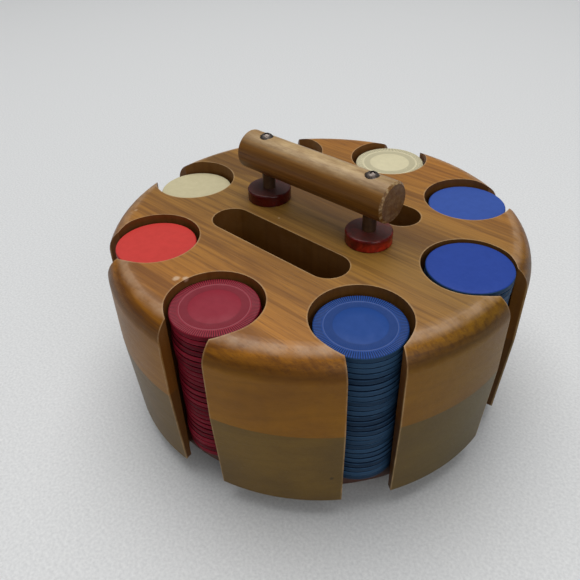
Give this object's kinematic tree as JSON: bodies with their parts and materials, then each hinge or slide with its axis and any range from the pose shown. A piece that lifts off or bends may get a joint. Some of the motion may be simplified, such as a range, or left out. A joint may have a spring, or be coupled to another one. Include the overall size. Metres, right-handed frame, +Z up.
{
  "type": "revolving poker chip caddy",
  "caption": "Round laminated wood poker chip caddy with open-sided chip wells, card slots and a dowel carrying handle, revolving on a low round base.",
  "frame": {"origin": "centre of the felt pad's underside, on the table and on the drum's turning axis", "axes": "+Z up along the turning axis, +X along the handle and the card slots; the caddy's lowest side is its felt pad"},
  "size_m": [0.2032, 0.2032, 0.1331],
  "materials": {
    "upper_wood": "satin lacquer over warm golden-brown hardwood",
    "lower_wood": "satin lacquer over olive-brown hardwood",
    "floor_wood": "satin, dark red-brown",
    "base_wood": "satin lacquer",
    "grip_wood": "satin lacquer, hand-worn",
    "post_wood": "dark stained",
    "collar_resin": "polished deep red cast resin",
    "screw_steel": "tarnished",
    "steel": "zinc plated",
    "ball_steel": "polished",
    "felt": "pressed felt",
    "chip_blue": "worn clay composition",
    "chip_blue_bright": "worn clay composition",
    "chip_cream": "worn clay composition",
    "chip_red": "worn clay composition",
    "chip_maroon": "worn clay composition"
  },
  "bodies": {
    "base": {"base_disc": "base_wood", "base_felt": "felt", "turntable_lower_plate": "steel", "turntable_rivet": "steel", "lower_plate_screws": "steel"},
    "ball_race": {"turntable_balls": "ball_steel"},
    "drum": {"upper_board": "upper_wood", "lower_board": "lower_wood", "floor_plate": "floor_wood", "floor_screws": "steel", "handle_grip": "grip_wood", "handle_post_left": "post_wood", "handle_post_right": "post_wood", "handle_collar_left": "collar_resin", "handle_collar_right": "collar_resin", "handle_screws": "screw_steel", "turntable_upper_plate": "steel", "upper_plate_screws": "steel"},
    "stack_blue_right": {"chips_blue_right": "chip_blue_bright"},
    "stack_blue_back": {"chips_blue_back": "chip_blue_bright"},
    "stack_cream_back": {"chips_cream_back": "chip_cream"},
    "stack_cream_left_back": {"chips_cream_left_back": "chip_cream"},
    "stack_cream_left": {"chips_cream_left": "chip_cream"},
    "stack_red_left": {"chips_red_left": "chip_red"},
    "stack_maroon_front": {"chips_maroon_front": "chip_maroon"},
    "stack_blue_front": {"chips_blue_front": "chip_blue"}
  },
  "joints": [
    {"name": "drum_spin", "type": "hinge", "parent": "base", "child": "drum", "pos_m": [0, 0, 0], "axis": [0, 0, 1], "continuous": true},
    {"name": "ball_roll", "type": "hinge", "parent": "base", "child": "ball_race", "pos_m": [0, 0, 0], "axis": [0, 0, 1], "continuous": true},
    {"name": "blue_right_lift", "type": "slide", "parent": "drum", "child": "stack_blue_right", "axis": [0, 0, 1], "range_m": [0, 0.09]},
    {"name": "blue_back_lift", "type": "slide", "parent": "drum", "child": "stack_blue_back", "axis": [0, 0, 1], "range_m": [0, 0.09]},
    {"name": "cream_back_lift", "type": "slide", "parent": "drum", "child": "stack_cream_back", "axis": [0, 0, 1], "range_m": [0, 0.09]},
    {"name": "cream_left_back_lift", "type": "slide", "parent": "drum", "child": "stack_cream_left_back", "axis": [0, 0, 1], "range_m": [0, 0.09]},
    {"name": "cream_left_lift", "type": "slide", "parent": "drum", "child": "stack_cream_left", "axis": [0, 0, 1], "range_m": [0, 0.09]},
    {"name": "red_left_lift", "type": "slide", "parent": "drum", "child": "stack_red_left", "axis": [0, 0, 1], "range_m": [0, 0.09]},
    {"name": "maroon_front_lift", "type": "slide", "parent": "drum", "child": "stack_maroon_front", "axis": [0, 0, 1], "range_m": [0, 0.09]},
    {"name": "blue_front_lift", "type": "slide", "parent": "drum", "child": "stack_blue_front", "axis": [0, 0, 1], "range_m": [0, 0.09]}
  ],
  "couplings": [
    {"joint": "ball_roll", "follows": "drum_spin", "ratio": 0.5}
  ]
}
